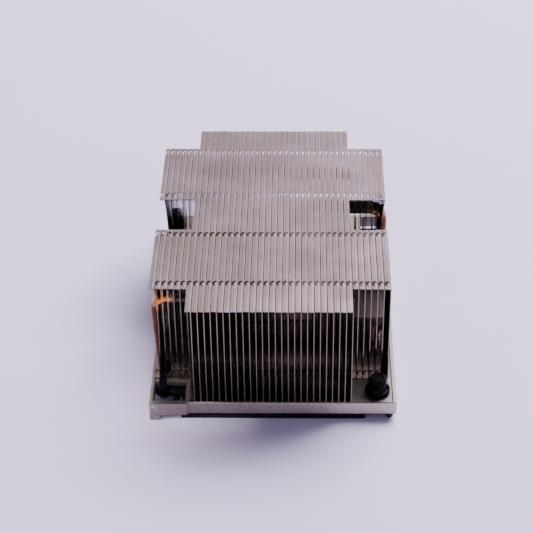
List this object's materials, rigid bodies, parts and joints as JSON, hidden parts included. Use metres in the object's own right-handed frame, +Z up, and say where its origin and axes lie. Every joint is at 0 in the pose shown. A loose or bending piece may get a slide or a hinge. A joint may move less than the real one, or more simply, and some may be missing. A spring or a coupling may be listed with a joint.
{
  "type": "passive server cpu heatsink",
  "caption": "Passive heatsink for a server processor: a stack of folded nickel-plated sheet fins with flattened heat pipes on a framed base plate.",
  "frame": {"origin": "middle of the foot print, at the height of the surface that the heatsink stands on", "axes": "+Z up, +Y along the fins towards the back, +X across the fins to the right seen from the front"},
  "size_m": [0.0832, 0.1126, 0.0455],
  "materials": {
    "nickel_fin": "satin",
    "base_metal": "satin",
    "frame_metal": "satin",
    "copper_pipe": "semi-gloss",
    "carrier_plastic": "matte",
    "black_plastic": "satin"
  },
  "bodies": {
    "root": {"base_plate": "base_metal", "carrier_frame": "carrier_plastic", "core_fin_01": "nickel_fin", "core_fin_02": "nickel_fin", "core_fin_03": "nickel_fin", "core_fin_04": "nickel_fin", "core_fin_05": "nickel_fin", "core_fin_06": "nickel_fin", "core_fin_07": "nickel_fin", "core_fin_08": "nickel_fin", "core_fin_09": "nickel_fin", "core_fin_10": "nickel_fin", "core_fin_11": "nickel_fin", "core_fin_12": "nickel_fin", "core_fin_13": "nickel_fin", "core_fin_14": "nickel_fin", "core_fin_15": "nickel_fin", "core_fin_16": "nickel_fin", "core_fin_17": "nickel_fin", "core_fin_18": "nickel_fin", "core_fin_19": "nickel_fin", "core_fin_20": "nickel_fin", "core_fin_21": "nickel_fin", "core_fin_22": "nickel_fin", "core_fin_23": "nickel_fin", "core_fin_24": "nickel_fin", "core_fin_25": "nickel_fin", "core_fin_26": "nickel_fin", "edge_frame": "frame_metal", "front_left_fin_1": "nickel_fin", "front_left_fin_2": "nickel_fin", "front_left_fin_3": "nickel_fin", "front_left_fin_4": "nickel_fin", "front_left_fin_5": "nickel_fin", "front_left_fin_6": "nickel_fin", "front_right_fin_1": "nickel_fin", "front_right_fin_2": "nickel_fin", "front_right_fin_3": "nickel_fin", "front_right_fin_4": "nickel_fin", "front_right_fin_5": "nickel_fin", "front_right_fin_6": "nickel_fin", "heat_pipe_front_inner": "copper_pipe", "heat_pipe_front_outer": "copper_pipe", "heat_pipe_rear_inner": "copper_pipe", "heat_pipe_rear_outer": "copper_pipe", "rear_left_fin_1": "nickel_fin", "rear_left_fin_2": "nickel_fin", "rear_left_fin_3": "nickel_fin", "rear_left_fin_4": "nickel_fin", "rear_left_fin_5": "nickel_fin", "rear_left_fin_6": "nickel_fin", "rear_right_fin_1": "nickel_fin", "rear_right_fin_2": "nickel_fin", "rear_right_fin_3": "nickel_fin", "rear_right_fin_4": "nickel_fin", "rear_right_fin_5": "nickel_fin", "rear_right_fin_6": "nickel_fin", "retaining_nuts": "black_plastic", "window_latches": "black_plastic"}
  },
  "joints": []
}
